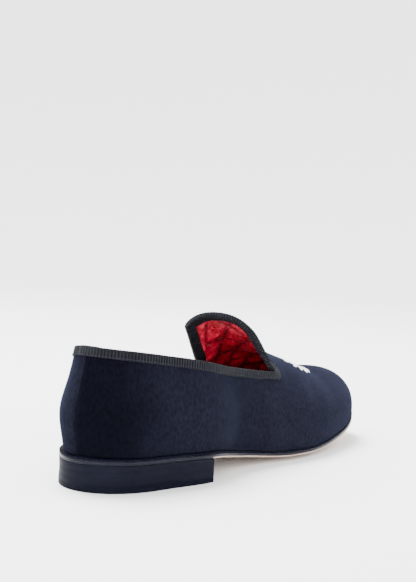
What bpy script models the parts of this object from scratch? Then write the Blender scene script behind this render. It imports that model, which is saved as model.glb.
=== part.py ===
# Velvet slipper loafer, right foot, standing empty on its sole.
# +X runs to the toe, +Y to the inner side of the foot, +Z up.
import bpy
import math
import numpy as np

# Last
SHOE_LENGTH = 0.2896        # back of the heel to the tip of the toe, at the sole's edge
HEEL_WIDTH = 0.0690
BREAST_WIDTH = 0.0765       # across the front of the heel
WAIST_WIDTH = 0.0617
BALL_WIDTH = 0.0910
TOE_WIDTH = 0.0800
HEEL_ROUND = 0.0457         # length of the round behind the straight sides
TOE_ROUND = 0.0753          # length of the round in front of them
HEEL_SQUARENESS = 2.01      # 2 is an ellipse, more is squarer
TOE_SQUARENESS = 2.31
SECTION_SQUARENESS = 2.35
SIDE_BULGE = 0.0039         # how far the sides swell past the sole's edge
BULGE_HEIGHT = 0.024
BULGE_SPREAD = 0.017

# Heights of the last's lower edge over the floor
SEAT_HEIGHT = 0.0207
BREAST_HEIGHT = 0.0191
WAIST_HEIGHT = 0.0122
BALL_HEIGHT = 0.00725
TOE_SPRING = 0.0175

# Heights of the last's top line over the floor
CONE_HEIGHT = 0.1125        # over the open collar, where the quarters lean in to it
INSTEP_HEIGHT = 0.0738      # at the start of the vamp

# Collar
COUNTER_HEIGHT = 0.0649     # centre back, over the seat
THROAT_DISTANCE = 0.1604    # from the back of the heel to the outer notch beside the tongue
INNER_THROAT = 0.1439       # the same to the inner notch
NOTCH_HEIGHT = 0.0606
INNER_DIP = 0.0067          # the inner side's edge lies lower by this

# Tongue
TONGUE_LENGTH = 0.0186      # behind the throat
TONGUE_RISE = 0.0135        # its tip over the middle of the throat
TONGUE_SAG = 0.0011         # dip of its centre line before the tip
TONGUE_SKEW = 0.090         # lean toward the inner side, as a share of its width
TONGUE_CORNER = 0.234       # share of its length that is the rounded end
TONGUE_SQUARENESS = 2.32

# Leather and cloth
WALL = 0.0025
RIBBON = 0.0007             # thickness of the binding
RIBBON_DEPTH = 0.0062
NOTCH_FOLD = 0.0065         # the binding's mitre in front of a notch
GAP = 0.0003                # between neighbouring pieces
INSOLE_THICKNESS = 0.0020
WELT_THICKNESS = 0.0013
WELT_REACH = 0.0065         # inward, under the upper
OUTSOLE_THICKNESS = 0.00245
CAMBER = 0.0036             # how far the tread is rounder than the edge
EDGE_ROUND = 0.0006
FORE_OUTSET = 0.0006        # welt and outsole past the last's edge
HEEL_OUTSET = 0.0024
HEEL_LENGTH = 0.0774
OUTSET_BLEND = 0.036        # length over which the outset changes
CAMBER_BLEND = 0.045
BREAST_HOLLOW = 0.003       # curve of the heel's front face
TOP_PIECE = 0.0035

# Mesh rows and columns
QUARTER_ROWS = 26
VAMP_ROWS = 24
SIDE_COLUMNS = 6
CROWN_COLUMNS = 4
TONGUE_ROWS = 6
SOLE_ROWS = 40
SOLE_COLUMNS = 8
HEEL_ROWS = 15
SAME_POINT = 1e-5
NEAR_EDGE = 0.98            # where a sheet's width is measured from its edge
CROWN_LAP = 0.015           # share of the length by which the crown runs past the toe's start

breast_share = HEEL_LENGTH / SHOE_LENGTH

# station along the last, width there, outer share of it, inner share of it
OUTLINE = [
    (0.00, HEEL_WIDTH, 0.500, 0.500),
    (0.12, HEEL_WIDTH, 0.500, 0.500),
    (breast_share, BREAST_WIDTH, 0.549, 0.451),
    (0.42, WAIST_WIDTH, 0.561, 0.439),
    (0.66, BALL_WIDTH, 0.483, 0.517),
    (0.82, TOE_WIDTH, 0.489, 0.511),
    (1.00, TOE_WIDTH, 0.414, 0.436),
]

# station along the last, height of its lower edge
EDGE_LINE = [
    (0.00, SEAT_HEIGHT),
    (0.15, SEAT_HEIGHT * 0.976),
    (breast_share, BREAST_HEIGHT),
    (0.42, WAIST_HEIGHT),
    (0.59, BALL_HEIGHT),
    (0.63, BALL_HEIGHT),
    (0.85, BALL_HEIGHT + 0.35 * TOE_SPRING),
    (1.00, BALL_HEIGHT + TOE_SPRING),
]

# station along the last, height of its top line
TOP_LINE = [
    (-0.10, CONE_HEIGHT * 1.258),
    (0.00, CONE_HEIGHT * 1.231),
    (0.20, CONE_HEIGHT * 1.178),
    (0.33, CONE_HEIGHT * 1.080),
    (0.40, CONE_HEIGHT),
    (0.50, CONE_HEIGHT * 0.811),
    (0.60, INSTEP_HEIGHT),
    (0.70, INSTEP_HEIGHT * 0.873),
    (0.80, INSTEP_HEIGHT * 0.756),
    (0.90, INSTEP_HEIGHT * 0.776),
    (1.00, INSTEP_HEIGHT * 0.664),
    (1.10, INSTEP_HEIGHT * 0.583),
]

# share of the throat distance, share of the drop from counter to notch
COLLAR_LINE = [(0.00, 0.000), (0.33, 0.265), (0.70, 0.723), (1.00, 1.000)]

# share of the tongue's length, change of its width, change of its arch, forward lean of its edges
TONGUE_FORM = [(0.0, 0.000, 0.000, 0.000), (0.5, -0.103, -0.478, -0.132), (1.0, -0.199, -0.653, -0.105)]


# A curve through a table's points that never overshoots them
def curve_through(xs, ys):
    xs = np.array(xs, float)
    ys = np.array(ys, float)
    step = np.diff(xs)
    rise = np.diff(ys) / step
    slope = np.zeros(len(xs))
    for i in range(1, len(xs) - 1):
        if rise[i - 1] * rise[i] > 0:
            before = 2 * step[i] + step[i - 1]
            after = step[i] + 2 * step[i - 1]
            slope[i] = (before + after) / (before / rise[i - 1] + after / rise[i])
    slope[0] = end_slope(step[0], step[1], rise[0], rise[1])
    slope[-1] = end_slope(step[-1], step[-2], rise[-1], rise[-2])

    def value(x):
        x = np.asarray(x, float)
        i = np.clip(np.searchsorted(xs, x) - 1, 0, len(step) - 1)
        u = (x - xs[i]) / step[i]
        start = (1 + 2 * u) * (1 - u) ** 2 * ys[i] + u * (1 - u) ** 2 * step[i] * slope[i]
        finish = u * u * (3 - 2 * u) * ys[i + 1] + u * u * (u - 1) * step[i] * slope[i + 1]
        return start + finish

    return value


def end_slope(step, next_step, rise, next_rise):
    slope = ((2 * step + next_step) * rise - step * next_rise) / (step + next_step)
    if slope * rise <= 0:
        return 0.0
    if rise * next_rise < 0 and abs(slope) > 3 * abs(rise):
        return 3 * rise
    return slope


def smooth_step(x):
    x = np.clip(x, 0, 1)
    return x * x * (3 - 2 * x)


stations = [row[0] * SHOE_LENGTH for row in OUTLINE]
outer_half = curve_through(stations, [row[1] * row[2] for row in OUTLINE])
inner_half = curve_through(stations, [row[1] * row[3] for row in OUTLINE])
edge_curve = curve_through([row[0] * SHOE_LENGTH for row in EDGE_LINE], [row[1] for row in EDGE_LINE])
top_height = curve_through([row[0] * SHOE_LENGTH for row in TOP_LINE], [row[1] for row in TOP_LINE])
counter_top = SEAT_HEIGHT + COUNTER_HEIGHT
collar_drop = curve_through([row[0] for row in COLLAR_LINE], [row[1] for row in COLLAR_LINE])
throat = {-1: THROAT_DISTANCE, 1: INNER_THROAT}
toe_start = SHOE_LENGTH - TOE_ROUND
crown_end = toe_start + CROWN_LAP * SHOE_LENGTH


def edge_height(x):
    return edge_curve(np.clip(x, 0, SHOE_LENGTH))


def centre_line(x):
    return (inner_half(x) - outer_half(x)) / 2


def half_width(x):
    return (inner_half(x) + outer_half(x)) / 2


# Rows are spaced closer at both ends, where the outline turns
def station_of(t):
    return SHOE_LENGTH * (1 - np.cos(math.pi * np.asarray(t, float))) / 2


def row_of(x):
    return math.acos(1 - 2 * x / SHOE_LENGTH) / math.pi


# The last's lower edge in plan; side is -1 on the outer side of the foot and 1 on the inner
def plan_point(t, side):
    x = station_of(t)
    heel = np.clip(1 - x / HEEL_ROUND, 0, 1)
    toe = np.clip((x - toe_start) / TOE_ROUND, 0, 1)
    narrow = (1 - heel ** HEEL_SQUARENESS) ** (1 / HEEL_SQUARENESS)
    narrow = narrow * (1 - toe ** TOE_SQUARENESS) ** (1 / TOE_SQUARENESS)
    return x, centre_line(x) + side * half_width(x) * narrow


# The same edge moved outward in plan
def plan_offset(t, side, outset):
    t = np.asarray(t, float)
    small = 1e-4
    x0, y0 = plan_point(np.clip(t - small, 0, 1), side)
    x1, y1 = plan_point(np.clip(t + small, 0, 1), side)
    length = np.hypot(x1 - x0, y1 - y0)
    x, y = plan_point(t, side)
    return x - side * (y1 - y0) / length * outset, y + side * (x1 - x0) / length * outset


# The last's surface: angle is 0 at the sole's edge and a quarter turn at the top line
def last_point(t, side, angle):
    x, y = plan_point(t, side)
    axis_x = np.clip(x, HEEL_ROUND, crown_end)
    axis_y = centre_line(axis_x)
    reach = np.clip(np.cos(angle), 0, 1) ** (2 / SECTION_SQUARENESS)
    px = axis_x + (x - axis_x) * reach
    py = axis_y + (y - axis_y) * reach
    base = edge_height(x)
    above = (top_height(np.clip(np.maximum(px, axis_x), 0, SHOE_LENGTH)) - base) * np.sin(angle)
    swell = np.exp(-((above - BULGE_HEIGHT) / BULGE_SPREAD) ** 2)
    swell = swell - math.exp(-(BULGE_HEIGHT / BULGE_SPREAD) ** 2) * np.exp(-above * 4 / BULGE_HEIGHT)
    away = np.hypot(x - axis_x, y - axis_y) + 1e-9
    px = px + (x - axis_x) / away * SIDE_BULGE * swell
    py = py + (y - axis_y) / away * SIDE_BULGE * swell
    return np.stack([px, py, base + above + GAP], -1)


# Angle of the collar's edge at a station behind the throat
def open_angle(x, side):
    share = x / throat[side]
    height = counter_top + collar_drop(share) * (NOTCH_HEIGHT - counter_top)
    if side > 0:
        height = height - INNER_DIP * np.sin(math.pi * share)
    base = edge_height(x)
    span = top_height(np.maximum(x, HEEL_ROUND)) - base
    return np.arcsin(np.clip((height - base) / span, 0, 1))


notch_angle = {side: float(open_angle(throat[side], side)) for side in (-1, 1)}
toe_angle = (notch_angle[-1] + notch_angle[1]) / 2


# The same, carried on round the vamp to one angle at the toe
def collar_angle(x, side):
    onward = smooth_step((x - throat[side]) / (SHOE_LENGTH - throat[side]))
    carried = notch_angle[side] + (toe_angle - notch_angle[side]) * onward
    return np.where(x < throat[side], open_angle(np.minimum(x, throat[side]), side), carried)


throat_row = {side: row_of(throat[side]) for side in (-1, 1)}


# Crown of the vamp: across runs from -1 on the outer carried-on collar line, over the top at 0,
# to 1 on the inner one, and a row starts at its own place on each side
def crown_point(row, across):
    t = row[-1] + (row[1] - row[-1]) * (across + 1) / 2
    x = station_of(t)
    near = last_point(t, -1, math.pi / 2 - (math.pi / 2 - collar_angle(x, -1)) * np.abs(across))
    far = last_point(t, 1, math.pi / 2 - (math.pi / 2 - collar_angle(x, 1)) * np.abs(across))
    return np.where((across < 0)[..., None], near, far)


# A smooth change through the tongue's three table rows
def tongue_change(s, column):
    start, middle, end = [row[column] for row in TONGUE_FORM]
    return start + s * (4 * middle - end - 3 * start) + s * s * 2 * (start + end - 2 * middle)


throat_middle = crown_point(throat_row, np.zeros(1))[0]


def tongue_line(s):
    small = 0.0005
    slope = (top_height(throat_middle[0] - small) - top_height(throat_middle[0] + small)) / (2 * small)
    start = slope * TONGUE_LENGTH * s * (1 - s) ** 2
    return start + TONGUE_RISE * s * s * (3 - 2 * s) - TONGUE_SAG * s * (1 - s)


# The tongue carries the vamp's crown on behind the throat: along is 0 at the notches and 1
# at its end, across runs from -1 at the outer edge to 1 at the inner edge
def tongue_point(along, across):
    dome = np.clip(1 - np.abs(across) ** TONGUE_SQUARENESS, 0, 1) ** (1 / TONGUE_SQUARENESS)
    s = along * (1 - TONGUE_CORNER + TONGUE_CORNER * dome)
    section = crown_point(throat_row, across)
    drop = throat_middle[2] - section[..., 2]
    widen = (1 + tongue_change(s, 1)) * (1 + TONGUE_SKEW * s * np.sign(across))
    x = section[..., 0] - s * TONGUE_LENGTH + tongue_change(s, 3) * drop
    y = throat_middle[1] + (section[..., 1] - throat_middle[1]) * widen
    z = throat_middle[2] + tongue_line(s) - drop * (1 + tongue_change(s, 2))
    return np.stack([x, y, z], -1)


# Points and faces of one piece, with points in the same place joined
class Piece:
    def __init__(self):
        self.points = np.zeros((0, 3))
        self.faces = []

    def add_points(self, points):
        points = np.asarray(points, float)
        numbers = np.arange(points[..., 0].size).reshape(points.shape[:-1]) + len(self.points)
        self.points = np.vstack([self.points, points.reshape(-1, 3)])
        return numbers

    def add_grid(self, points, flip=False):
        n = self.add_points(points)
        for i in range(n.shape[0] - 1):
            for j in range(n.shape[1] - 1):
                face = [n[i, j], n[i + 1, j], n[i + 1, j + 1], n[i, j + 1]]
                self.faces.append(face[::-1] if flip else face)
        return n

    # Each loop of points is joined to the next one
    def add_loops(self, loops, closed=False):
        n = self.add_points(loops)
        rows, columns = n.shape
        for i in range(rows if closed else rows - 1):
            for j in range(columns):
                k = (j + 1) % columns
                after = (i + 1) % rows
                self.faces.append([n[i, j], n[after, j], n[after, k], n[i, k]])
        return n

    def join_points(self):
        first = np.arange(len(self.points))
        for i in range(len(self.points)):
            if first[i] == i:
                near = np.abs(self.points[i + 1:] - self.points[i]).max(axis=1) < SAME_POINT
                first[i + 1:][near & (first[i + 1:] == np.arange(i + 1, len(first)))] = i
        joined = []
        for face in self.faces:
            corners = []
            for number in face:
                if first[number] not in corners:
                    corners.append(int(first[number]))
            if len(corners) > 2:
                joined.append(corners)
        self.faces = joined
        return first

    # Quads become triangles along their shorter diagonal
    def split_quads(self):
        p = self.points
        split = []
        for face in self.faces:
            if len(face) == 4:
                a, b, c, d = face
                if np.linalg.norm(p[a] - p[c]) < np.linalg.norm(p[b] - p[d]):
                    split += [[a, b, c], [a, c, d]]
                else:
                    split += [[b, c, d], [b, d, a]]
            else:
                split.append(face)
        self.faces = split

    def normals(self):
        total = np.zeros_like(self.points)
        for face in self.faces:
            p = self.points[face]
            total[face] += np.cross(p[1] - p[0], p[2] - p[0])
        return total / (np.linalg.norm(total, axis=1)[:, None] + 1e-12)

    # A wall of the given thickness inside the sheet; feet are points on the sole's edge
    def thicken(self, thickness, normals, feet):
        inside = self.points - thickness * normals
        level = normals[feet] * np.array([1, 1, 0])
        level = level / (np.linalg.norm(level, axis=1)[:, None] + 1e-12)
        inside[feet] = self.points[feet] - thickness * level
        inside[feet, 2] = edge_height(inside[feet, 0]) + GAP
        count = len(self.points)
        edges = {}
        for face in self.faces:
            for a, b in zip(face, face[1:] + face[:1]):
                edges[(a, b)] = True
        rim = [edge for edge in edges if (edge[1], edge[0]) not in edges]
        self.faces = self.faces + [[n + count for n in face[::-1]] for face in self.faces]
        for a, b in rim:
            self.faces += [[b, a, a + count], [b, a + count, b + count]]
        self.points = np.vstack([self.points, inside])

    def build(self, name, material):
        self.join_points()
        used = sorted({n for face in self.faces for n in face})
        place = {n: i for i, n in enumerate(used)}
        mesh = bpy.data.meshes.new(name)
        faces = [[place[n] for n in face] for face in self.faces]
        mesh.from_pydata(self.points[used].tolist(), [], faces)
        mesh.materials.append(material)
        mesh.shade_smooth()
        mesh.set_sharp_from_angle(angle=math.radians(35))
        piece = bpy.data.objects.new(name, mesh)
        bpy.context.scene.collection.objects.link(piece)
        return piece


def make_material(name, colour, roughness):
    material = bpy.data.materials.new(name)
    material.use_nodes = True
    shader = material.node_tree.nodes["Principled BSDF"]
    shader.inputs["Base Color"].default_value = (*colour, 1)
    shader.inputs["Roughness"].default_value = roughness
    shader.inputs["Metallic"].default_value = 0
    return material


# Angle that lies the binding's depth below the collar's edge
def fold_angle(t, side, edge_angle):
    small = 0.01
    speed = np.linalg.norm(
        last_point(t, side, edge_angle) - last_point(t, side, edge_angle - small), axis=-1) / small
    return edge_angle - RIBBON_DEPTH / speed


# One side of the upper from the sole's edge to the collar's edge
def side_grid(rows, side):
    x = station_of(rows)
    edge_angle = collar_angle(x, side)
    fold = fold_angle(rows, side, edge_angle)
    shares = np.linspace(0, 1, SIDE_COLUMNS + 1)
    middle = (fold + edge_angle) / 2
    angles = np.hstack([fold[:, None] * shares, middle[:, None], edge_angle[:, None]])
    t = np.repeat(rows[:, None], angles.shape[1], 1)
    return last_point(t, side, angles)


# Columns across crown and tongue: the edge, a half step, the binding's depth, then to the middle
def crown_columns(width):
    fold = 1 - RIBBON_DEPTH / width
    half = [1, (1 + fold) / 2] + list(np.linspace(fold, 0, CROWN_COLUMNS + 1))
    return np.array([-v for v in half] + half[-2::-1])


def crown_grid(rows):
    edge = np.array([1.0])
    grid = []
    for row in rows:
        near = crown_point(row, -edge)[0]
        next_in = crown_point(row, -NEAR_EDGE * edge)[0]
        width = np.linalg.norm(next_in - near) / (1 - NEAR_EDGE)
        grid.append(crown_point(row, crown_columns(max(width, 2 * RIBBON_DEPTH))))
    return np.array(grid)


# The tongue's rows run from its end to the throat
def tongue_grid():
    edge = np.array([1.0])
    rows = []
    shares = np.linspace(0, 1, TONGUE_ROWS + 1)
    across_at = []
    for along in list(shares) + [1.0]:
        near = tongue_point(along, -edge)[0]
        next_in = tongue_point(along, -NEAR_EDGE * edge)[0]
        sideways = np.linalg.norm((next_in - near)[1:]) / (1 - NEAR_EDGE)
        across_at.append(crown_columns(max(sideways, 2 * RIBBON_DEPTH)))
    for i, share in enumerate(shares):
        row = []
        for across in across_at[i]:
            tip = tongue_point(1.0, np.array([across]))[0]
            before = tongue_point(NEAR_EDGE, np.array([across]))[0]
            reach = np.linalg.norm(tip - before) / (1 - NEAR_EDGE)
            fold = 1 - RIBBON_DEPTH / max(reach, 2 * RIBBON_DEPTH)
            row.append((share * fold, across, fold))
        rows.append(row)
    last_row = rows[-1]
    rows.append([((1 + fold) / 2, across, fold) for _, across, fold in last_row])
    rows.append([(1.0, across, fold) for _, across, fold in last_row])
    grid = []
    for row in rows:
        along = np.array([place[0] for place in row])
        across = np.array([place[1] for place in row])
        grid.append(tongue_point(along, across))
    return np.array(grid)[::-1]


# The upper's outer sheet, with the points under the binding and those on the sole's edge
def upper_sheet():
    quarter_rows = {}
    vamp_rows = {}
    for side in (-1, 1):
        fold_row = row_of(throat[side] + NOTCH_FOLD)
        middle_row = (throat_row[side] + fold_row) / 2
        quarter_rows[side] = np.linspace(0, throat_row[side], QUARTER_ROWS)[:-1]
        vamp_rows[side] = np.concatenate(
            [[throat_row[side], middle_row], np.linspace(fold_row, 1, VAMP_ROWS)])
    sheet = Piece()
    outer = sheet.add_grid(side_grid(np.concatenate([quarter_rows[-1], vamp_rows[-1]]), -1))
    inner = sheet.add_grid(side_grid(np.concatenate([quarter_rows[1], vamp_rows[1]]), 1), flip=True)
    tongue = tongue_grid()
    crown = crown_grid([{-1: a, 1: b} for a, b in zip(vamp_rows[-1], vamp_rows[1])])
    top = sheet.add_grid(np.concatenate([tongue[:-1], crown]))
    first = sheet.join_points()
    sheet.split_quads()
    throat_at = len(tongue) - 1
    past_notch = QUARTER_ROWS + 2
    strip = [grid[:past_notch, -3:] for grid in (outer, inner)]
    strip += [top[:throat_at + 3, :3], top[:throat_at + 3, -3:], top[:3]]
    strip = {int(first[n]) for part in strip for n in part.ravel()}
    feet = sorted({int(first[n]) for n in list(outer[:, 0]) + list(inner[:, 0])})
    return sheet, strip, feet


# A ribbon folded over the collar's edge, offset from the upper's own faces
def bind_collar(sheet, normals, strip):
    faces = [face for face in sheet.faces if all(n in strip for n in face)]
    sheet_edges = {edge for face in sheet.faces for edge in zip(face, face[1:] + face[:1])}
    strip_edges = {edge for face in faces for edge in zip(face, face[1:] + face[:1])}
    border = sorted(edge for edge in strip_edges if edge[::-1] not in strip_edges)
    rim = [edge for edge in border if edge[::-1] not in sheet_edges]
    after = dict(rim)
    out_of = np.zeros_like(sheet.points)
    for before, number in rim:
        into = sheet.points[number] - sheet.points[before]
        onward = sheet.points[after[number]] - sheet.points[number]
        into = into / np.linalg.norm(into)
        onward = onward / np.linalg.norm(onward)
        along = (into + onward) / np.linalg.norm(into + onward)
        mitre = 1 / float(np.dot(along, onward))
        out_of[number] = np.cross(along, normals[number]) * mitre
    skin = GAP + RIBBON
    outer_face = sheet.points + normals * skin + out_of * skin
    outer_back = sheet.points + normals * GAP + out_of * GAP
    inner_back = sheet.points - normals * (WALL + GAP) + out_of * GAP
    inner_face = sheet.points - normals * (WALL + skin) + out_of * skin
    ribbon = Piece()
    start = [int(ribbon.add_points(layer)[0]) for layer in (outer_face, outer_back, inner_back, inner_face)]
    for face in faces:
        for layer, turned in zip(start, (False, True, False, True)):
            ribbon.faces.append([n + layer for n in (face[::-1] if turned else face)])

    def close(edge, layer, next_layer, turned=False):
        a, b = edge
        for corners in (
                [b + layer, a + layer, a + next_layer],
                [b + layer, a + next_layer, b + next_layer]):
            ribbon.faces.append(corners[::-1] if turned else corners)

    for edge in border:
        if edge in rim:
            close(edge, start[0], start[3])
            close(edge, start[1], start[2], turned=True)
        else:
            close(edge, start[0], start[1])
            close(edge, start[2], start[3])
    return ribbon


def edge_outset(x):
    blend = smooth_step((x - HEEL_LENGTH) / OUTSET_BLEND)
    return HEEL_OUTSET + (FORE_OUTSET - HEEL_OUTSET) * blend


def tread_camber(x):
    return CAMBER * smooth_step((x - HEEL_LENGTH) / CAMBER_BLEND)


outsole_top = WELT_THICKNESS + GAP
outsole_bottom = outsole_top + OUTSOLE_THICKNESS


# Height of the outsole's underside: rounder in the middle, with a flat tread on the floor
def tread_height(x, across):
    return np.maximum(edge_height(x) - outsole_bottom - tread_camber(x) * (1 - across ** 2), 0)


# A plate on the last's plan: sides is a list of (share of the thickness, inset) from top to bottom
def plate(rows, columns, outset, top, bottom, sides, hollow=0.0):
    across = np.linspace(-1, 1, columns + 1)
    loops = []
    for i, t in enumerate(rows):
        back = hollow if i == len(rows) - 1 else 0.0
        x = float(station_of(t))
        edges = {}
        for side in (-1, 1):
            for share, inset in sides:
                px, py = plan_offset(t, side, outset(x) - inset)
                z = top(px, 1.0) + share * (bottom(px, 1.0) - top(px, 1.0))
                edges[side, share] = np.array([float(px), float(py), float(z)])
        loop = []
        for v in across:
            p = edges[-1, 0] + (edges[1, 0] - edges[-1, 0]) * (v + 1) / 2
            px = p[0] - back * (1 - v * v)
            loop.append([px, p[1], float(top(px, v))])
        loop += [edges[1, share] for share, _ in sides[1:-1]]
        for v in across[::-1]:
            p = edges[-1, 1] + (edges[1, 1] - edges[-1, 1]) * (v + 1) / 2
            px = p[0] - back * (1 - v * v)
            loop.append([px, p[1], float(bottom(px, v))])
        loop += [edges[-1, share] for share, _ in sides[-2:0:-1]]
        loops.append(loop)
    piece = Piece()
    n = piece.add_loops(np.array(loops))
    if hollow:
        count = columns + 1
        end = n[-1]
        low = end[count + len(sides) - 2:][:count][::-1]
        for j in range(columns):
            piece.faces.append([end[j + 1], end[j], low[j], low[j + 1]])
    return piece


# The strip that shows as a thin line round the foot of the upper
def welt_ring(rows):
    loops = []
    for side, order in ((-1, rows), (1, rows[::-1])):
        for t in order[:-1]:
            x = float(station_of(t))
            outer_x, outer_y = plan_offset(t, side, edge_outset(x))
            inner_x, inner_y = plan_offset(t, side, -WELT_REACH)
            inner_z = edge_height(inner_x)
            outer_z = edge_height(outer_x)
            loops.append([
                [inner_x, inner_y, inner_z], [inner_x, inner_y, inner_z - WELT_THICKNESS],
                [outer_x, outer_y, outer_z - WELT_THICKNESS], [outer_x, outer_y, outer_z]])
    ring = Piece()
    ring.add_loops(np.array(loops, float), closed=True)
    return ring


# The origin lies on the floor under the middle of the shoe
def centre_on_origin(pieces):
    corners = np.array([vertex.co[:] for piece in pieces for vertex in piece.data.vertices])
    low = corners.min(axis=0)
    high = corners.max(axis=0)
    shift = np.array([(low[0] + high[0]) / 2, (low[1] + high[1]) / 2, low[2]])
    for piece in pieces:
        for vertex in piece.data.vertices:
            vertex.co = np.array(vertex.co[:]) - shift


def build_shoe():
    velvet = make_material("navy velvet", (0.018, 0.022, 0.034), 0.95)
    ribbon = make_material("black ribbed ribbon", (0.010, 0.011, 0.014), 0.8)
    sock_leather = make_material("red lining", (0.42, 0.01, 0.03), 0.5)
    edge_leather = make_material("navy edge leather", (0.020, 0.024, 0.038), 0.35)
    sole_leather = make_material("natural sole leather", (0.42, 0.30, 0.22), 0.55)
    heel_leather = make_material("painted stacked leather", (0.022, 0.026, 0.042), 0.25)
    rubber = make_material("heel rubber", (0.012, 0.013, 0.018), 0.5)

    sheet, strip, feet = upper_sheet()
    normals = sheet.normals()
    binding = bind_collar(sheet, normals, strip)
    sheet.thicken(WALL, normals, feet)

    rows = np.linspace(0, 1, SOLE_ROWS + 1)
    heel_rows = np.linspace(0, row_of(HEEL_LENGTH), HEEL_ROWS + 1)
    square = [(0, 0), (1, 0)]
    rounded = [(0, 0.5 * EDGE_ROUND), (0.25, 0), (0.7, 0), (1, EDGE_ROUND)]
    insole = plate(
        rows, SOLE_COLUMNS - 2, lambda x: -(WALL + GAP),
        lambda x, v: edge_height(x) + GAP + INSOLE_THICKNESS,
        lambda x, v: edge_height(x) + GAP, square)
    outsole = plate(
        rows, SOLE_COLUMNS, edge_outset,
        lambda x, v: edge_height(x) - outsole_top, tread_height, rounded)
    stack = plate(
        heel_rows, SOLE_COLUMNS - 2, edge_outset,
        lambda x, v: edge_height(x) - outsole_bottom - GAP,
        lambda x, v: TOP_PIECE + GAP, square, BREAST_HOLLOW)
    top_piece = plate(
        heel_rows, SOLE_COLUMNS - 2, edge_outset,
        lambda x, v: TOP_PIECE, lambda x, v: 0.0, square, BREAST_HOLLOW)
    pieces = [
        sheet.build("upper", velvet),
        binding.build("topline_binding", ribbon),
        insole.build("insole", sock_leather),
        welt_ring(rows).build("welt", edge_leather),
        outsole.build("outsole", sole_leather),
        stack.build("heel_stack", heel_leather),
        top_piece.build("heel_top_piece", rubber),
    ]
    centre_on_origin(pieces)


for old in list(bpy.data.objects):
    bpy.data.objects.remove(old, do_unlink=True)
build_shoe()
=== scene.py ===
import bpy
import math
import numpy as np
from mathutils import Matrix, Vector
from mathutils.bvhtree import BVHTree
from mathutils.kdtree import KDTree


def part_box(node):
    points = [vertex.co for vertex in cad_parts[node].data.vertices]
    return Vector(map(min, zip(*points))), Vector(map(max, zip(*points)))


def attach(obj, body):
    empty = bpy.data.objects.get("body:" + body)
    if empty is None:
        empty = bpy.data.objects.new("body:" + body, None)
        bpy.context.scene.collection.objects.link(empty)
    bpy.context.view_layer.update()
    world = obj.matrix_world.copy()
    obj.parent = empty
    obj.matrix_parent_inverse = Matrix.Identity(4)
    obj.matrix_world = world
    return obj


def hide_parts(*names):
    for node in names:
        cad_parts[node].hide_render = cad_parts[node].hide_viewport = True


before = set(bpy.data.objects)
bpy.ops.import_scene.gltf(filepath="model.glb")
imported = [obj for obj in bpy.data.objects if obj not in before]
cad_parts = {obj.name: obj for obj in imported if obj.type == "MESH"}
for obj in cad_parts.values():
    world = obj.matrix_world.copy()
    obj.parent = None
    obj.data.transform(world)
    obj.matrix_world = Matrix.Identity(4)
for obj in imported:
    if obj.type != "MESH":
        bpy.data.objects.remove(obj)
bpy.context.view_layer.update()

# The last that the shoe is made on, in metres; side is -1 on the outer side of the foot, 1 on the inner
last = {
    "length": 0.2896,
    "heelWidth": 0.0690,
    "breastWidth": 0.0765,
    "waistWidth": 0.0617,
    "ballWidth": 0.0910,
    "toeWidth": 0.0800,
    "heelRound": 0.0457,
    "toeRound": 0.0753,
    "heelSquareness": 2.01,
    "toeSquareness": 2.31,
    "sectionSquareness": 2.35,
    "bulge": 0.0039,
    "bulgeHeight": 0.024,
    "bulgeSpread": 0.017,
    "seat": 0.0207,
    "breast": 0.0191,
    "waist": 0.0122,
    "ball": 0.00725,
    "toeSpring": 0.0175,
    "cone": 0.1125,
    "instep": 0.0738,
    "heelLength": 0.0774,
    "gap": 0.0003,           # between neighbouring pieces
}
collar = {
    "counter": 0.0649,       # height of the centre back over the seat
    "outerThroat": 0.1604,   # back of the heel to each notch beside the tongue
    "innerThroat": 0.1439,
    "notchHeight": 0.0606,
    "innerDip": 0.0067,
}
tongue = {
    "length": 0.0186,
    "rise": 0.0135,
    "sag": 0.0011,
    "skew": 0.090,
    "corner": 0.234,
    "squareness": 2.32,
}
length = last["length"]
breastShare = last["heelLength"] / length

# station, width, outer share, inner share
outlineTable = [
    (0.00, last["heelWidth"], 0.500, 0.500),
    (0.12, last["heelWidth"], 0.500, 0.500),
    (breastShare, last["breastWidth"], 0.549, 0.451),
    (0.42, last["waistWidth"], 0.561, 0.439),
    (0.66, last["ballWidth"], 0.483, 0.517),
    (0.82, last["toeWidth"], 0.489, 0.511),
    (1.00, last["toeWidth"], 0.414, 0.436),
]
# station, height of the last's lower edge
edgeTable = [
    (0.00, last["seat"]),
    (0.15, last["seat"] * 0.976),
    (breastShare, last["breast"]),
    (0.42, last["waist"]),
    (0.59, last["ball"]),
    (0.63, last["ball"]),
    (0.85, last["ball"] + 0.35 * last["toeSpring"]),
    (1.00, last["ball"] + last["toeSpring"]),
]
# station, height of the last's top line
topTable = [
    (-0.10, last["cone"] * 1.258),
    (0.00, last["cone"] * 1.231),
    (0.20, last["cone"] * 1.178),
    (0.33, last["cone"] * 1.080),
    (0.40, last["cone"]),
    (0.50, last["cone"] * 0.811),
    (0.60, last["instep"]),
    (0.70, last["instep"] * 0.873),
    (0.80, last["instep"] * 0.756),
    (0.90, last["instep"] * 0.776),
    (1.00, last["instep"] * 0.664),
    (1.10, last["instep"] * 0.583),
]
# share of the throat distance, share of the drop from counter to notch
collarTable = [(0.00, 0.000), (0.33, 0.265), (0.70, 0.723), (1.00, 1.000)]
# share of the tongue's length, change of its width, change of its arch, forward lean of its edges
tongueTable = [(0.0, 0.000, 0.000, 0.000), (0.5, -0.103, -0.478, -0.132), (1.0, -0.199, -0.653, -0.105)]


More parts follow.
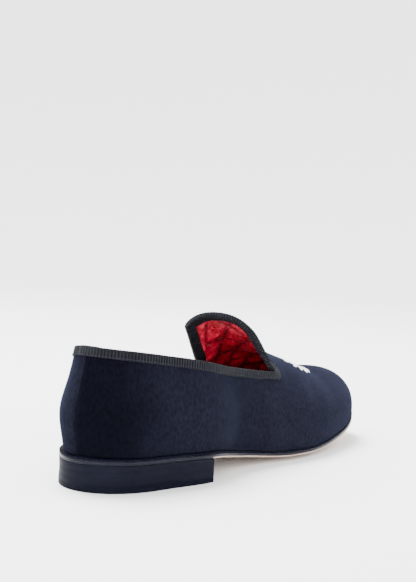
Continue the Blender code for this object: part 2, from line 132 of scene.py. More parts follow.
# A curve through a table's points that never overshoots them
def curveThrough(xs, ys):
    xs = np.array(xs, float)
    ys = np.array(ys, float)
    step = np.diff(xs)
    rise = np.diff(ys) / step
    slope = np.zeros(len(xs))
    for i in range(1, len(xs) - 1):
        if rise[i - 1] * rise[i] > 0:
            before = 2 * step[i] + step[i - 1]
            after = step[i] + 2 * step[i - 1]
            slope[i] = (before + after) / (before / rise[i - 1] + after / rise[i])
    slope[0] = endSlope(step[0], step[1], rise[0], rise[1])
    slope[-1] = endSlope(step[-1], step[-2], rise[-1], rise[-2])

    def value(x):
        x = np.asarray(x, float)
        i = np.clip(np.searchsorted(xs, x) - 1, 0, len(step) - 1)
        u = (x - xs[i]) / step[i]
        start = (1 + 2 * u) * (1 - u) ** 2 * ys[i] + u * (1 - u) ** 2 * step[i] * slope[i]
        finish = u * u * (3 - 2 * u) * ys[i + 1] + u * u * (u - 1) * step[i] * slope[i + 1]
        return start + finish

    return value


def endSlope(step, nextStep, rise, nextRise):
    slope = ((2 * step + nextStep) * rise - step * nextRise) / (step + nextStep)
    if slope * rise <= 0:
        return 0.0
    if rise * nextRise < 0 and abs(slope) > 3 * abs(rise):
        return 3 * rise
    return slope


def smoothStep(x):
    x = np.clip(x, 0, 1)
    return x * x * (3 - 2 * x)


# A curve through a table of shares of a reach and their values
def shareCurve(table, reach=1.0):
    shares, values = zip(*table)
    return curveThrough(np.array(shares) * reach, values)


outerHalf = shareCurve([(x, width * outer) for x, width, outer, _ in outlineTable], length)
innerHalf = shareCurve([(x, width * inner) for x, width, _, inner in outlineTable], length)
edgeCurve = shareCurve(edgeTable, length)
topHeight = shareCurve(topTable, length)
collarDrop = shareCurve(collarTable)
throat = {-1: collar["outerThroat"], 1: collar["innerThroat"]}
toeStart = length - last["toeRound"]
crownEnd = toeStart + 0.015 * length
counterTop = last["seat"] + collar["counter"]


def edgeHeight(x):
    return edgeCurve(np.clip(x, 0, length))


def centreLine(x):
    return (innerHalf(x) - outerHalf(x)) / 2


def stationOf(t):
    return length * (1 - np.cos(math.pi * np.asarray(t, float))) / 2


def rowOf(x):
    return math.acos(1 - 2 * x / length) / math.pi


# The last's lower edge seen from above
def planPoint(t, side):
    x = stationOf(t)
    heel = np.clip(1 - x / last["heelRound"], 0, 1)
    toe = np.clip((x - toeStart) / last["toeRound"], 0, 1)
    narrow = (1 - heel ** last["heelSquareness"]) ** (1 / last["heelSquareness"])
    narrow = narrow * (1 - toe ** last["toeSquareness"]) ** (1 / last["toeSquareness"])
    return x, centreLine(x) + side * (innerHalf(x) + outerHalf(x)) / 2 * narrow


def planOffset(t, side, outset):
    t = np.asarray(t, float)
    small = 1e-4
    x0, y0 = planPoint(np.clip(t - small, 0, 1), side)
    x1, y1 = planPoint(np.clip(t + small, 0, 1), side)
    run = np.hypot(x1 - x0, y1 - y0)
    x, y = planPoint(t, side)
    return x - side * (y1 - y0) / run * outset, y + side * (x1 - x0) / run * outset


# The last's surface: angle is 0 at the sole's edge and a quarter turn at the top line
def lastPoint(t, side, angle):
    x, y = planPoint(t, side)
    axisX = np.clip(x, last["heelRound"], crownEnd)
    axisY = centreLine(axisX)
    reach = np.clip(np.cos(angle), 0, 1) ** (2 / last["sectionSquareness"])
    px = axisX + (x - axisX) * reach
    py = axisY + (y - axisY) * reach
    base = edgeHeight(x)
    above = (topHeight(np.clip(np.maximum(px, axisX), 0, length)) - base) * np.sin(angle)
    swell = np.exp(-((above - last["bulgeHeight"]) / last["bulgeSpread"]) ** 2)
    atFoot = math.exp(-(last["bulgeHeight"] / last["bulgeSpread"]) ** 2)
    swell = swell - atFoot * np.exp(-above * 4 / last["bulgeHeight"])
    away = np.hypot(x - axisX, y - axisY) + 1e-9
    px = px + (x - axisX) / away * last["bulge"] * swell
    py = py + (y - axisY) / away * last["bulge"] * swell
    return np.stack([px, py, base + above + last["gap"]], -1)


def openAngle(x, side):
    share = x / throat[side]
    height = counterTop + collarDrop(share) * (collar["notchHeight"] - counterTop)
    if side > 0:
        height = height - collar["innerDip"] * np.sin(math.pi * share)
    base = edgeHeight(x)
    return np.arcsin(np.clip((height - base) / (topHeight(np.maximum(x, last["heelRound"])) - base), 0, 1))


notchAngle = {side: float(openAngle(throat[side], side)) for side in (-1, 1)}
toeAngle = (notchAngle[-1] + notchAngle[1]) / 2


def collarAngle(x, side):
    onward = smoothStep((x - throat[side]) / (length - throat[side]))
    carried = notchAngle[side] + (toeAngle - notchAngle[side]) * onward
    return np.where(x < throat[side], openAngle(np.minimum(x, throat[side]), side), carried)


throatRow = {side: rowOf(throat[side]) for side in (-1, 1)}


# Crown of the vamp: across is -1 at the outer side's collar line, 0 on top and 1 at the inner one
def crownPoint(row, across):
    t = row[-1] + (row[1] - row[-1]) * (across + 1) / 2
    x = stationOf(t)
    near = lastPoint(t, -1, math.pi / 2 - (math.pi / 2 - collarAngle(x, -1)) * np.abs(across))
    far = lastPoint(t, 1, math.pi / 2 - (math.pi / 2 - collarAngle(x, 1)) * np.abs(across))
    return np.where((across < 0)[..., None], near, far)


def tongueChange(s, column):
    start, middle, end = [row[column] for row in tongueTable]
    return start + s * (4 * middle - end - 3 * start) + s * s * 2 * (start + end - 2 * middle)


throatMiddle = crownPoint(throatRow, np.zeros(1))[0]


def tongueLine(s):
    small = 0.0005
    slope = (topHeight(throatMiddle[0] - small) - topHeight(throatMiddle[0] + small)) / (2 * small)
    start = slope * tongue["length"] * s * (1 - s) ** 2
    return start + tongue["rise"] * s * s * (3 - 2 * s) - tongue["sag"] * s * (1 - s)


# The tongue carries the crown on behind the throat: along is 0 at the notches and 1 at its end
def tonguePoint(along, across):
    dome = np.clip(1 - np.abs(across) ** tongue["squareness"], 0, 1) ** (1 / tongue["squareness"])
    s = along * (1 - tongue["corner"] + tongue["corner"] * dome)
    section = crownPoint(throatRow, across)
    drop = throatMiddle[2] - section[..., 2]
    widen = (1 + tongueChange(s, 1)) * (1 + tongue["skew"] * s * np.sign(across))
    x = section[..., 0] - s * tongue["length"] + tongueChange(s, 3) * drop
    y = throatMiddle[1] + (section[..., 1] - throatMiddle[1]) * widen
    z = throatMiddle[2] + tongueLine(s) - drop * (1 + tongueChange(s, 2))
    return np.stack([x, y, z], -1)


# From the last's own place to the frame's
backOfHeel = lastPoint(np.zeros(1), 1, np.linspace(0, 1, 200))[..., 0].min()
nearBall = np.linspace(0.5, 0.7, 60)
lowAngles = np.linspace(0, 0.8, 60)
sideOfFoot = min(lastPoint(nearBall, -1, np.full(60, angle))[:, 1].min() for angle in lowAngles)
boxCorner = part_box("upper")[0]
shift = np.array([backOfHeel - boxCorner.x, sideOfFoot - boxCorner.y, 0.0])


# Faces between the rows of a grid of points
def gridFaces(first, rows, columns):
    faces = []
    for i in range(rows - 1):
        for j in range(columns - 1):
            a = first + i * columns + j
            faces.append([a, a + columns, a + columns + 1, a + 1])
    return faces


# Points, faces and each point's place on the cloth
class Sheet:
    def __init__(self):
        self.points = np.zeros((0, 3))
        self.places = np.zeros((0, 2))
        self.faces = []

    # A closed grid also joins its last column to its first
    def addGrid(self, points, places, flip=False, closed=False):
        start = len(self.points)
        rows, columns = points.shape[:2]
        self.points = np.vstack([self.points, points.reshape(-1, 3)])
        self.places = np.vstack([self.places, places.reshape(-1, 2)])
        for face in gridFaces(start, rows, columns):
            self.faces.append(face[::-1] if flip else face)
        if closed:
            for a in range(start, start + (rows - 1) * columns, columns):
                self.faces.append([a + columns - 1, a + 2 * columns - 1, a + columns, a])

    # Joins points that lie in the same spot and gives the numbers of the faces that stay
    def joinPoints(self, spot=2e-5):
        keys = {}
        first = np.zeros(len(self.points), int)
        for i, point in enumerate(np.round(self.points / spot).astype(int)):
            first[i] = keys.setdefault(tuple(point), i)
        joined = {}
        for i, face in enumerate(self.faces):
            corners = list(dict.fromkeys(int(first[n]) for n in face))
            if len(corners) > 2:
                joined[i] = corners
        self.faces = list(joined.values())
        return list(joined)

    def normals(self):
        total = np.zeros_like(self.points)
        for face in self.faces:
            p = self.points[face]
            total[face] += np.cross(p[2] - p[0], p[-1] - p[1])
        return total / (np.linalg.norm(total, axis=1)[:, None] + 1e-12)

    def rim(self):
        edges = {edge for face in self.faces for edge in zip(face, face[1:] + face[:1])}
        return [edge for edge in edges if (edge[1], edge[0]) not in edges]


def addObject(name, data):
    item = bpy.data.objects.new(name, data)
    bpy.context.scene.collection.objects.link(item)
    return item


# A mesh object from points, faces, each point's place on the cloth and each face's material
def makePiece(name, points, faces, materials, places=None, chosen=None, crease=40):
    used = sorted({n for face in faces for n in face})
    order = {n: i for i, n in enumerate(used)}
    mesh = bpy.data.meshes.new(name)
    polygons = [[order[n] for n in face] for face in faces]
    mesh.from_pydata((np.asarray(points)[used] - shift).tolist(), [], polygons)
    for material in materials:
        mesh.materials.append(material)
    if chosen is not None:
        mesh.polygons.foreach_set("material_index", chosen)
    if places is not None:
        layer = mesh.uv_layers.new(name="place")
        corners = np.zeros(len(mesh.loops), int)
        mesh.loops.foreach_get("vertex_index", corners)
        layer.data.foreach_set("uv", np.asarray(places)[used][corners].ravel())
    mesh.shade_smooth()
    mesh.set_sharp_from_angle(angle=math.radians(crease))
    piece = addObject(name, mesh)
    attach(piece, "root")
    return piece


def addNode(material, kind, inputs=None, **settings):
    tree = material.node_tree
    node = tree.nodes.new("ShaderNode" + kind)
    for key, value in settings.items():
        setattr(node, key, value)
    for key, value in (inputs or {}).items():
        if isinstance(value, bpy.types.NodeSocket):
            tree.links.new(value, node.inputs[key])
        else:
            node.inputs[key].default_value = value
    return node


def newMaterial(name, roughness, specular, others=None):
    material = bpy.data.materials.new(name)
    material.use_nodes = True
    shader = material.node_tree.nodes["Principled BSDF"]
    settings = {"Roughness": roughness, "Specular IOR Level": specular, **(others or {})}
    for key, value in settings.items():
        shader.inputs[key].default_value = (*value, 1) if isinstance(value, tuple) else value
    return material


def feed(material, output, name):
    shader = material.node_tree.nodes["Principled BSDF"]
    material.node_tree.links.new(output, shader.inputs[name])


# Noise in object space, stretched by scale along each axis
def noise(material, scale, detail=2.0, stretch=(1, 1, 1), rough=0.5):
    coords = addNode(material, "TexCoord")
    mapping = addNode(material, "Mapping", {"Vector": coords.outputs["Object"], "Scale": stretch})
    return addNode(material, "TexNoise", {
        "Vector": mapping.outputs[0], "Scale": scale, "Detail": detail, "Roughness": rough}).outputs["Fac"]


# A stop's colour may be one number, for a grey
def ramp(material, factor, stops):
    node = addNode(material, "ValToRGB", {"Fac": factor})
    elements = node.color_ramp.elements
    while len(elements) < len(stops):
        elements.new(0.5)
    for element, (position, colour) in zip(elements, stops):
        element.position = position
        element.color = (*colour, 1) if isinstance(colour, tuple) else (colour, colour, colour, 1)
    return node.outputs["Color"]


def mix(material, factor, a, b, blend="MIX"):
    inputs = {0: factor, 6: a, 7: b}    # the places of the colour sockets
    return addNode(material, "Mix", inputs, data_type="RGBA", blend_type=blend).outputs[2]


def multiply(material, a, b):
    return mix(material, 1.0, a, b, "MULTIPLY")


def mapRange(material, value, start, end, top=1.0):
    return addNode(material, "MapRange", {
        "Value": value, "From Min": start, "From Max": end, "To Max": top}).outputs[0]


# A point's place in one of the layers that the pieces carry, as its X and Y
def clothPlace(material, layer="place"):
    place = addNode(material, "UVMap", uv_map=layer)
    return addNode(material, "SeparateXYZ", {"Vector": place.outputs[0]}).outputs


def bump(material, height, strength, distance, below=None):
    inputs = {"Height": height, "Strength": strength, "Distance": distance}
    if below is not None:
        inputs["Normal"] = below
    return addNode(material, "Bump", inputs).outputs["Normal"]


print("camera")
view = {
    "azimuth": 52.76,
    "elevation": 8.86,
    "roll": 2.33,
    "distance": 0.8181,
    "focalPixels": 1175.4,
    "imageWidth": 416,
    "imageHeight": 582,
    "aimHeight": 0.045,      # over the floor, half way along the last
    "aimPixelX": 225.76,
    "aimPixelY": 391.70,
}


def makeCamera():
    turn, lift, roll = [math.radians(view[key]) for key in ("azimuth", "elevation", "roll")]
    back = np.array([-math.sin(turn) * math.cos(lift), -math.cos(turn) * math.cos(lift), math.sin(lift)])
    level = np.array([math.cos(turn), -math.sin(turn), 0.0])
    upright = np.cross(back, level)
    right = math.cos(roll) * level + math.sin(roll) * upright
    up = math.cos(roll) * upright - math.sin(roll) * level
    aim = np.array([
        (view["aimPixelX"] - view["imageWidth"] / 2) / view["focalPixels"],
        -(view["aimPixelY"] - view["imageHeight"] / 2) / view["focalPixels"],
        -1.0])
    turned = Vector(aim).rotation_difference(Vector((0, 0, -1))).to_matrix()
    axes = Matrix([right, up, back]).transposed() @ turned
    target = np.array([length / 2, 0, view["aimHeight"]]) - shift
    data = bpy.data.cameras.new("camera")
    data.sensor_fit = "VERTICAL"
    data.sensor_height = 36.0
    data.lens = view["focalPixels"] * data.sensor_height / view["imageHeight"]
    data.clip_start = 0.05
    data.clip_end = 50
    camera = addObject("camera", data)
    camera.matrix_world = Matrix.Translation(Vector(target + back * view["distance"])) @ axes.to_4x4()
    bpy.context.scene.camera = camera


makeCamera()

print("floor and light")
studio = {
    "floorColour": (0.93, 0.93, 0.93),
    "wallGlow": 0.60,        # lifts the wall to the floor's brightness
    "floorRadius": 1.6,
    "wallRadius": 3.0,
    "wallHeight": 4.0,
    "skyStrength": 1.35,
    "lampAim": 0.04,         # height that the lamps point at
    "turnSteps": 12,
    "corners": 96,
}


# A round floor that turns up into a wall, the same from every side
def makeStage():
    rings = [(0.8, 0.0), (studio["floorRadius"], 0.0)]
    turn = studio["wallRadius"] - studio["floorRadius"]
    for i in range(studio["turnSteps"]):
        a = math.pi / 2 * (i + 1) / studio["turnSteps"]
        rings.append((studio["floorRadius"] + turn * math.sin(a), turn * (1 - math.cos(a))))
    rings.append((studio["wallRadius"], studio["wallHeight"]))
    count = studio["corners"]
    points = []
    for radius, height in rings:
        for k in range(count):
            a = 2 * math.pi * k / count
            points.append([radius * math.cos(a), radius * math.sin(a), height])
    faces = [list(range(count))]
    for i in range(len(rings) - 1):
        for k in range(count):
            a = i * count
            b = (k + 1) % count
            faces.append([a + count + k, a + count + b, a + b, a + k])
    material = newMaterial("paleFloor", 0.95, 0.1, {
        "Base Color": studio["floorColour"], "Emission Color": (1.0, 1.0, 1.0)})
    coords = addNode(material, "TexCoord")
    away = addNode(material, "VectorMath", {0: coords.outputs["Object"]}, operation="LENGTH")
    glow = mapRange(material, away.outputs["Value"], 0.5, 2.2, studio["wallGlow"])
    feed(material, glow, "Emission Strength")
    mesh = bpy.data.meshes.new("floor")
    mesh.from_pydata(points, [], faces)
    mesh.materials.append(material)
    mesh.shade_smooth()
    addObject("floor", mesh)


# name, place over the middle of the shoe, width and height, watts
lampTable = [
    ("softboxLeft", (-1.10, 0.75, 0.9), (0.8, 0.8), 8.0),
    ("softboxToe", (1.30, -0.70, 1.2), (1.0, 1.0), 7.0),
    ("topLight", (0.1, 0.50, 1.55), (0.7, 0.7), 92.0),
    ("stripBack", (-1.36, -0.46, 0.26), (0.22, 0.5), 3.0),
    ("stripFront", (-0.98, -1.02, 0.26), (0.22, 0.5), 3.0),
]


def makeLamps():
    for name, place, size, power in lampTable:
        data = bpy.data.lights.new(name, "AREA")
        data.shape = "RECTANGLE"
        data.size, data.size_y = size
        data.energy = power
        lamp = addObject(name, data)
        lamp.location = place
        aim = Vector((0, 0, studio["lampAim"])) - Vector(place)
        lamp.rotation_euler = aim.to_track_quat("-Z", "Y").to_euler()
    world = bpy.data.worlds.new("studio")
    world.use_nodes = True
    sky = world.node_tree.nodes["Background"].inputs
    sky["Color"].default_value = (0.96, 0.98, 1.0, 1)
    sky["Strength"].default_value = studio["skyStrength"]
    bpy.context.scene.world = world


makeStage()
makeLamps()

print("last")
upper = {
    "quarterRows": 130,
    "vampRows": 106,
    "sideColumns": 42,
    "crownColumns": 40,
    "tongueRows": 40,
    "velvet": 0.0013,        # thickness of the velvet and its backing
    "wall": 0.0025,
    "pad": 0.0011,           # how far the quilting puffs past the wall
}


# Length along each row of a grid, from its first column
def arcAlong(points):
    steps = np.linalg.norm(np.diff(points, axis=1), axis=2)
    return np.hstack([np.zeros((len(points), 1)), np.cumsum(steps, axis=1)])


# The upper's outer face; place is the distance along the shoe and round from the top line
def lastSheet():
    sheet = Sheet()
    vamp = {}
    crownArc = {}
    for side in (-1, 1):
        vamp[side] = throatRow[side] + (1 - throatRow[side]) * np.linspace(0, 1, upper["vampRows"])
    across = np.linspace(-1, 1, 2 * upper["crownColumns"] + 1)
    middle = upper["crownColumns"]
    crown = np.array([crownPoint({-1: a, 1: b}, across) for a, b in zip(vamp[-1], vamp[1])])
    shares = np.linspace(1, 0, upper["tongueRows"] + 1)
    end = np.array([tonguePoint(np.full(len(across), share), across) for share in shares])
    top = np.concatenate([end[:-1], crown])
    arc = arcAlong(top)
    arc = arc - arc[:, middle][:, None]
    sheet.addGrid(top, np.stack([top[..., 0], arc], -1))
    for side in (-1, 1):
        crownArc[side] = arc[len(end) - 1:, 0 if side < 0 else -1]
        quarter = np.linspace(0, throatRow[side], upper["quarterRows"])[:-1]
        rows = np.concatenate([quarter, vamp[side]])
        upward = np.linspace(0, 1, upper["sideColumns"] + 1) ** 0.9
        angles = upward * collarAngle(stationOf(rows), side)[:, None]
        points = lastPoint(np.repeat(rows[:, None], angles.shape[1], 1), side, angles)
        down = arcAlong(points)
        down = down[:, -1][:, None] - down
        begin = np.concatenate([np.full(len(quarter), crownArc[side][0]), crownArc[side]])
        places = np.stack([points[..., 0], begin[:, None] + side * down], -1)
        sheet.addGrid(points, places, flip=side > 0)
    sheet.joinPoints()
    return sheet


sheet = lastSheet()
sheetNormals = sheet.normals()
sheetTree = BVHTree.FromPolygons(sheet.points.tolist(), sheet.faces)
print("last", len(sheet.faces), "faces")

# The collar's edge: outer quarter from the back, round the tongue, inner quarter to the back
def rimPath():
    turnSteps = 400
    sideSteps = 120
    runs = []
    for side in (-1, 1):
        t = np.linspace(0, throatRow[side], turnSteps)
        run = lastPoint(t, side, collarAngle(stationOf(t), side))
        runs.append(run if side < 0 else run[::-1])
    up = np.linspace(0, 1, sideSteps)
    turn = -np.cos(np.linspace(0, math.pi, turnSteps))
    end = np.concatenate([
        tonguePoint(up, np.full(sideSteps, -1.0)),
        tonguePoint(np.ones(turnSteps), turn)[1:],
        tonguePoint(up[::-1], np.full(sideSteps, 1.0))[1:]])
    return [runs[0], end, runs[1]]


print("creases")
# distance along the shoe, round from the top line, lie in degrees, length, width, depth; metres
creaseTable = [
    (0.196, -0.052, 62, 0.030, 0.0050, 0.00055),
    (0.208, -0.060, 70, 0.026, 0.0045, -0.00040),
    (0.172, -0.046, 50, 0.026, 0.0060, 0.00045),
    (0.204, 0.050, -62, 0.030, 0.0050, 0.00055),
    (0.178, 0.044, -50, 0.024, 0.0060, 0.00040),
    (0.232, -0.018, 35, 0.022, 0.0060, 0.00040),
    (0.236, 0.016, -30, 0.022, 0.0060, 0.00035),
    (0.060, -0.078, 84, 0.020, 0.0080, 0.00035),
    (0.110, -0.085, 78, 0.024, 0.0070, 0.00040),
    (0.125, 0.082, -78, 0.024, 0.0070, 0.00040),
]


# How deep the creases press into the upper at each place
def creaseDepth(places):
    depth = np.zeros(len(places))
    for x, y, lie, reach, width, deep in creaseTable:
        a = math.radians(lie)
        dx = places[:, 0] - x
        dy = places[:, 1] - y
        along = (dx * math.cos(a) + dy * math.sin(a)) / reach
        aside = (-dx * math.sin(a) + dy * math.cos(a)) / width
        depth += deep * np.exp(-aside ** 2) * np.exp(-(along * 1.6) ** 2)
    return depth


# A closed shell between two depths below the outer face
def shellPiece(name, outside, inside, materials, places):
    outer = sheet.points - sheetNormals * outside[:, None]
    inner = sheet.points - sheetNormals * inside[:, None]
    points = np.vstack([outer, inner])
    points[:, 2] = np.maximum(points[:, 2], edgeHeight(points[:, 0]) + last["gap"])
    count = len(sheet.points)
    faces = sheet.faces + [[n + count for n in face[::-1]] for face in sheet.faces]
    for a, b in sheet.rim():
        faces.append([b, a, a + count, b + count])
    return makePiece(name, points, faces, materials, np.vstack([places, places]))


print("velvet upper")
velvet = {
    "colour": (0.0071, 0.0075, 0.0127),
    "darkColour": (0.0055, 0.0058, 0.0101),
    "sheen": 0.045,
    "sheenRoughness": 0.42,
    "sheenTint": (0.50, 0.60, 1.0),
    "napSize": 0.030,        # patches where the pile leans another way
    "pileSize": 0.0012,
    "leanAndShadeLength": 0.280,      # the painted shade and light, and the change in the pile's lean, spread along the whole shoe
    "seamDepth": 0.0006,     # up the centre back
    "seamWidth": 0.0011,
    "seamReach": 0.004,
}


def velvetMaterial():
    material = newMaterial("navyVelvet", 1.0, 0.0, {
        "Sheen Weight": velvet["sheen"],
        "Sheen Roughness": velvet["sheenRoughness"],
        "Sheen Tint": velvet["sheenTint"],
    })
    nap = noise(material, 1 / velvet["napSize"], 3.0)
    pile = noise(material, 1 / velvet["pileSize"], 2.0, (1, 1, 0.4))
    napColour = ramp(material, nap, [(0.3, velvet["darkColour"]), (0.7, velvet["colour"])])
    pileColour = ramp(material, pile, [(0.32, (0.68, 0.68, 0.70)), (0.66, 1.28)])
    place = clothPlace(material)
    outerSide = addNode(material, "Math", {0: place["Y"], 1: 0.0}, operation="LESS_THAN")
    forward = mapRange(material, place["X"], 0.0, velvet["leanAndShadeLength"])
    # painted shade and light: the outer side is darkened towards the centre back and at the waist, and
    # both sides are lightened towards the toe, where the light falls; lean carries this painted shade and
    # light as well as the pile's lean, which differs between the two sides
    ahead = [(0.55, (1.08, 1.06, 1.05)), (0.72, (1.00, 0.98, 0.98)), (0.90, (1.22, 1.18, 1.16))]
    outerNapAndShade = ramp(material, forward, [
        (0.0, (0.30, 0.31, 0.34)), (0.05, (0.36, 0.37, 0.40)), (0.14, (0.84, 0.85, 0.87)),
        (0.25, (1.05, 1.04, 1.05)), (0.39, (0.72, 0.71, 0.72)), *ahead])
    innerNapAndShade = ramp(material, forward, [(0.0, (0.82, 0.81, 0.81)), (0.39, (0.90, 0.89, 0.89)), *ahead])
    lean = mix(material, outerSide.outputs[0], innerNapAndShade, outerNapAndShade)
    nappedAndShaded = multiply(material, napColour, lean)
    feed(material, multiply(material, nappedAndShaded, pileColour), "Base Color")
    soft = bump(material, nap, 0.25, 0.0012)
    feed(material, bump(material, pile, 0.55, 0.0003, soft), "Normal")
    return material


# How far each point lies from the collar's edge
def fromRim():
    run = np.concatenate(rimPath())
    tree = KDTree(len(run))
    for i, point in enumerate(run):
        tree.insert(point, i)
    tree.balance()
    return np.array([tree.find(point)[2] for point in sheet.points])


rimReach = fromRim()
depth = creaseDepth(sheet.places) * smoothStep((rimReach - 0.005) / 0.010)
atBack = np.exp(-((sheet.points[:, 0] - backOfHeel) / velvet["seamReach"]) ** 2)
seam = velvet["seamDepth"] * atBack * np.exp(-(sheet.points[:, 1] / velvet["seamWidth"]) ** 2)
velvetUpper = shellPiece(
    "velvetUpper", depth + seam, depth + upper["velvet"], [velvetMaterial()], sheet.places)
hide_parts("upper")

print("quilted lining")
lining = {
    "colour": (0.56, 0.012, 0.045),
    "foldShadeColour": (0.21, 0.002, 0.008),
    "roughness": 0.31,
    "diamond": 0.0150,       # between quilting lines
    "lean": 56,              # degrees of the lines to the shoe's length
    "grooveWidth": 0.0019,
    "pareFrom": 0.0045,      # pared thin under the ribbon, from the collar's edge to here
    "pareFade": 0.0030,
    "pare": 0.0010,
    "padFrom": 0.0074,       # padded from here on
    "padFade": 0.0035,
}


# 0 on a quilting line and 1 in the middle of a diamond
def quiltPuff(places):
    puff = np.ones(len(places))
    for way in (-1, 1):
        a = math.radians(way * lining["lean"])
        line = (places[:, 0] * math.sin(a) + places[:, 1] * math.cos(a)) / lining["diamond"]
        off = np.abs(line - np.round(line)) * lining["diamond"]
        puff = puff * (1 - np.exp(-(off / lining["grooveWidth"]) ** 2))
    return puff


# creasing is 1 for the crumpled lining and less for cloth that lies flat
def liningMaterial(name, creasing, gloss):
    material = newMaterial(name, lining["roughness"], gloss, {
        "Specular Tint": (1.0, 0.45, 0.5),
        "Sheen Weight": 0.05,
        "Sheen Roughness": 0.3,
        "Sheen Tint": (1.0, 0.3, 0.35),
    })
    crumple = noise(material, 120, 4.0, (1, 1.6, 0.8), 0.62)
    folds = noise(material, 48, 2.0, (1.8, 0.8, 1))
    fine = noise(material, 2600, 1.0, (0.3, 1, 1))
    # painted shade: the satin darkens to the fold shade colour in the troughs of its folds
    colour = ramp(material, folds, [(0.38, lining["foldShadeColour"]), (0.66, lining["colour"])])
    # painted shade and light: the satin is darkened along the quilting lines and lightened on the puffs
    # between them
    shaded = ramp(material, clothPlace(material, "quiltShade")["X"], [
        (0.0, (0.28, 0.2, 0.22)), (0.5, 0.8), (1.0, 1.1)])
    feed(material, multiply(material, colour, shaded), "Base Color")
    soft = bump(material, folds, 0.7 * creasing, 0.0035)
    creased = bump(material, crumple, creasing, 0.0045, soft)
    feed(material, bump(material, fine, 0.2, 0.0001, creased), "Normal")
    return material


satin = liningMaterial("redSatin", 1.0, 0.6)


# Tells the satin how near each point of a piece is to a quilting line, which sets the painted shade and
# light of the satin
def addQuiltShade(piece, values):
    corners = np.zeros(len(piece.data.loops), int)
    piece.data.loops.foreach_get("vertex_index", corners)
    layer = piece.data.uv_layers.new(name="quiltShade")
    layer.data.foreach_set("uv", np.stack([values[corners], np.zeros(len(corners))], 1).ravel())


puff = quiltPuff(sheet.places)
free = smoothStep((rimReach - lining["padFrom"]) / lining["padFade"])
pared = lining["pare"] * (1 - smoothStep((rimReach - lining["pareFrom"]) / lining["pareFade"]))
liningDepth = depth + upper["wall"] - pared + upper["pad"] * (puff * 1.4 - 0.5) * free
quiltedLining = shellPiece(
    "quiltedLining", depth + upper["velvet"] + 0.00005, liningDepth, [satin], sheet.places)
used = sorted({n for face in sheet.faces for n in face})
addQuiltShade(quiltedLining, np.concatenate([np.ones(len(used)), (1 - (1 - puff) * free)[used]]))

print("ribbon binding")
binding = {
    "colour": (0.0072, 0.0080, 0.0115),
    "ribPitch": 0.0020,
    "ribHeight": 0.00042,
    "thickness": 0.0005,
    "topRise": 0.00055,      # rounded top over the upper's edge
    "outerDepth": 0.0056,
    "innerDepth": 0.0070,
    "lapLength": 0.0075,     # where its ends meet at the centre back
    "lapHeight": 0.0002,
    "lapFade": 0.0012,
    "samplesPerRib": 8,
    "probe": 0.002,          # how far in its lie is looked at
    "ribShape": 0.7,
    "faceRows": 6,
    "topSteps": 8,
    "cornerSteps": 14,       # ribbon stations fanned round each notch
    "cornerReach": 0.14,     # how much further it reaches there
}


def resample(points, step):
    along = np.concatenate([[0], np.cumsum(np.linalg.norm(np.diff(points, axis=0), axis=1))])
    count = max(2, int(round(along[-1] / step)))
    wanted = np.linspace(0, along[-1], count + 1)
    return np.stack([np.interp(wanted, along, points[:, k]) for k in range(3)], 1)


def unit(v):
    return v / (np.linalg.norm(v, axis=-1)[..., None] + 1e-12)


# The nearest place on the last, with the normal smoothed between its face's corners
def nearestFace(point):
    place, _, index, _ = sheetTree.find_nearest(Vector(point))
    place = np.array(place)
    corners = list(sheet.faces[index])
    closeness = 1 / (np.linalg.norm(sheet.points[corners] - place, axis=1) + 1e-6)
    return place, unit(closeness @ sheetNormals[corners])


# Edge points with the direction into the upper and the distance along the ribbon
def ribbonStations():
    step = binding["ribPitch"] / binding["samplesPerRib"]
    stations = []
    distance = 0.0
    for run in rimPath():
        points = resample(run, step)
        tangents = unit(np.gradient(points, axis=0))
        for i, (point, tangent) in enumerate(zip(points, tangents)):
            _, normal = nearestFace(point)
            into = unit(np.cross(tangent, normal))
            _, normal = nearestFace(point + into * binding["probe"])
            into = unit(np.cross(tangent, normal))
            if stations and i == 0:
                before = stations[-1]
                for share in np.linspace(0, 1, binding["cornerSteps"])[1:-1]:
                    mixed = unit(before[1] * (1 - share) + into * share)
                    reach = 1 + binding["cornerReach"] * math.sin(math.pi * share)
                    stations.append((point, mixed, unit(before[2] + normal), distance, reach))
            stations.append((point, into, normal, distance, 1.0))
            distance += step
    return stations, distance


